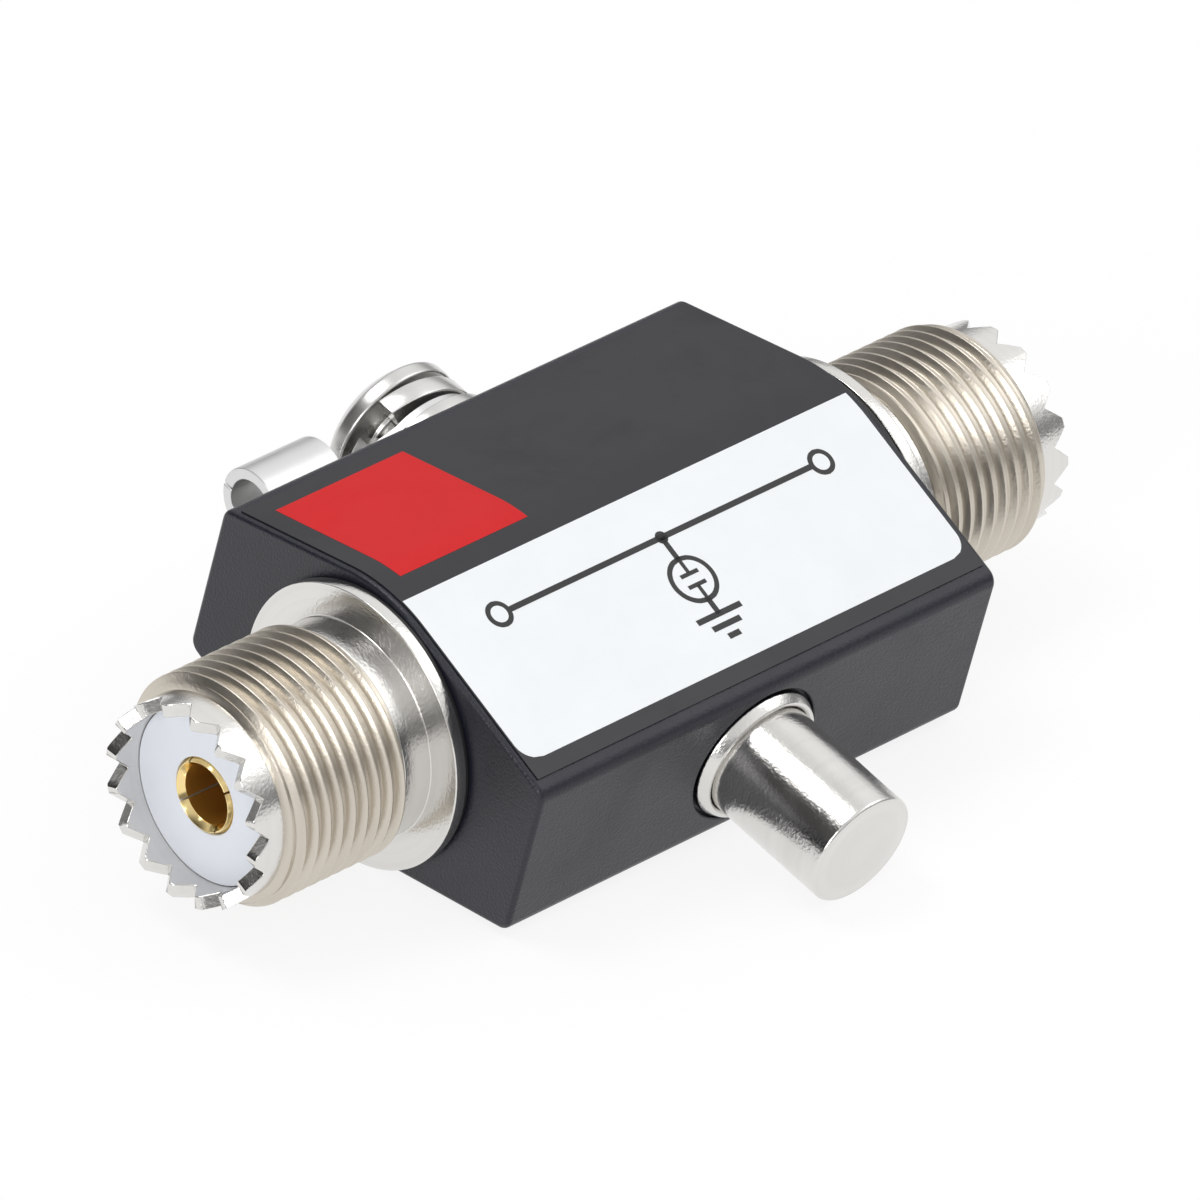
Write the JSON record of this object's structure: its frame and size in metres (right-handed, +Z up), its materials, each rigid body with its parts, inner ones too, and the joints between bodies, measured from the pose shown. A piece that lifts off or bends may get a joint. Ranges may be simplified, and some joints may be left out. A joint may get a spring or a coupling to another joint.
{
  "type": "coax lightning arrestor",
  "caption": "Inline coax lightning arrestor: black faceted block with threaded, serrated sockets at its ends, a screw cap over a gas tube and a ground screw with a crimp lug.",
  "frame": {"origin": "middle of the underside of the resting part's box, on the ground", "axes": "+X along the coax line, from the socket near the lug's barrel to the other one; +Y from the cap's side to the ground screw's side; +Z up, with the part lying on its lower ridge and the cap's rim"},
  "size_m": [0.0714, 0.0472, 0.0202],
  "materials": {
    "block": "satin",
    "gasket": "matte",
    "nickel": "polished",
    "insulator": "satin",
    "contact": "polished",
    "steel": "satin",
    "ceramic": "matte",
    "lug": "satin",
    "label": "satin"
  },
  "bodies": {
    "block": {"body_block": "block", "left_gasket": "gasket", "right_gasket": "gasket", "left_shell": "nickel", "right_shell": "nickel", "left_insulator": "insulator", "right_insulator": "insulator", "left_contact": "contact", "right_contact": "contact", "line_conductor": "contact", "cap_bush": "nickel", "flat_washer": "steel", "label": "label"},
    "tube_carrier": {"tube_spring": "steel", "tube_ceramic": "ceramic", "tube_inner_electrode": "nickel", "tube_outer_electrode": "nickel"},
    "cap": {"tube_cap": "nickel"},
    "screw_carrier": {"spring_washer": "steel"},
    "screw": {"ground_screw": "steel"},
    "lug": {"ground_lug": "lug"}
  },
  "joints": [
    {"name": "cap_travel", "type": "slide", "parent": "block", "child": "tube_carrier", "axis": [0, -0.9721, -0.2345], "range_m": [0, 0.007]},
    {"name": "cap_turn", "type": "hinge", "parent": "tube_carrier", "child": "cap", "pos_m": [0, -0.0128, 0.00628], "axis": [0, -0.9721, -0.2345], "range_deg": [0, 2520]},
    {"name": "screw_travel", "type": "slide", "parent": "block", "child": "screw_carrier", "axis": [0, 0.9721, 0.2345], "range_m": [0, 0.004]},
    {"name": "screw_turn", "type": "hinge", "parent": "screw_carrier", "child": "screw", "pos_m": [0, 0.01685, 0.01343], "axis": [0, 0.9721, 0.2345], "range_deg": [0, 1800]},
    {"name": "lug_swing", "type": "hinge", "parent": "block", "child": "lug", "pos_m": [0, 0.01777, 0.01365], "axis": [0, 0.9721, 0.2345], "continuous": true}
  ],
  "couplings": [
    {"joint": "cap_turn", "follows": "cap_travel", "rad_per_m": 6283.2},
    {"joint": "screw_turn", "follows": "screw_travel", "rad_per_m": 7854}
  ]
}
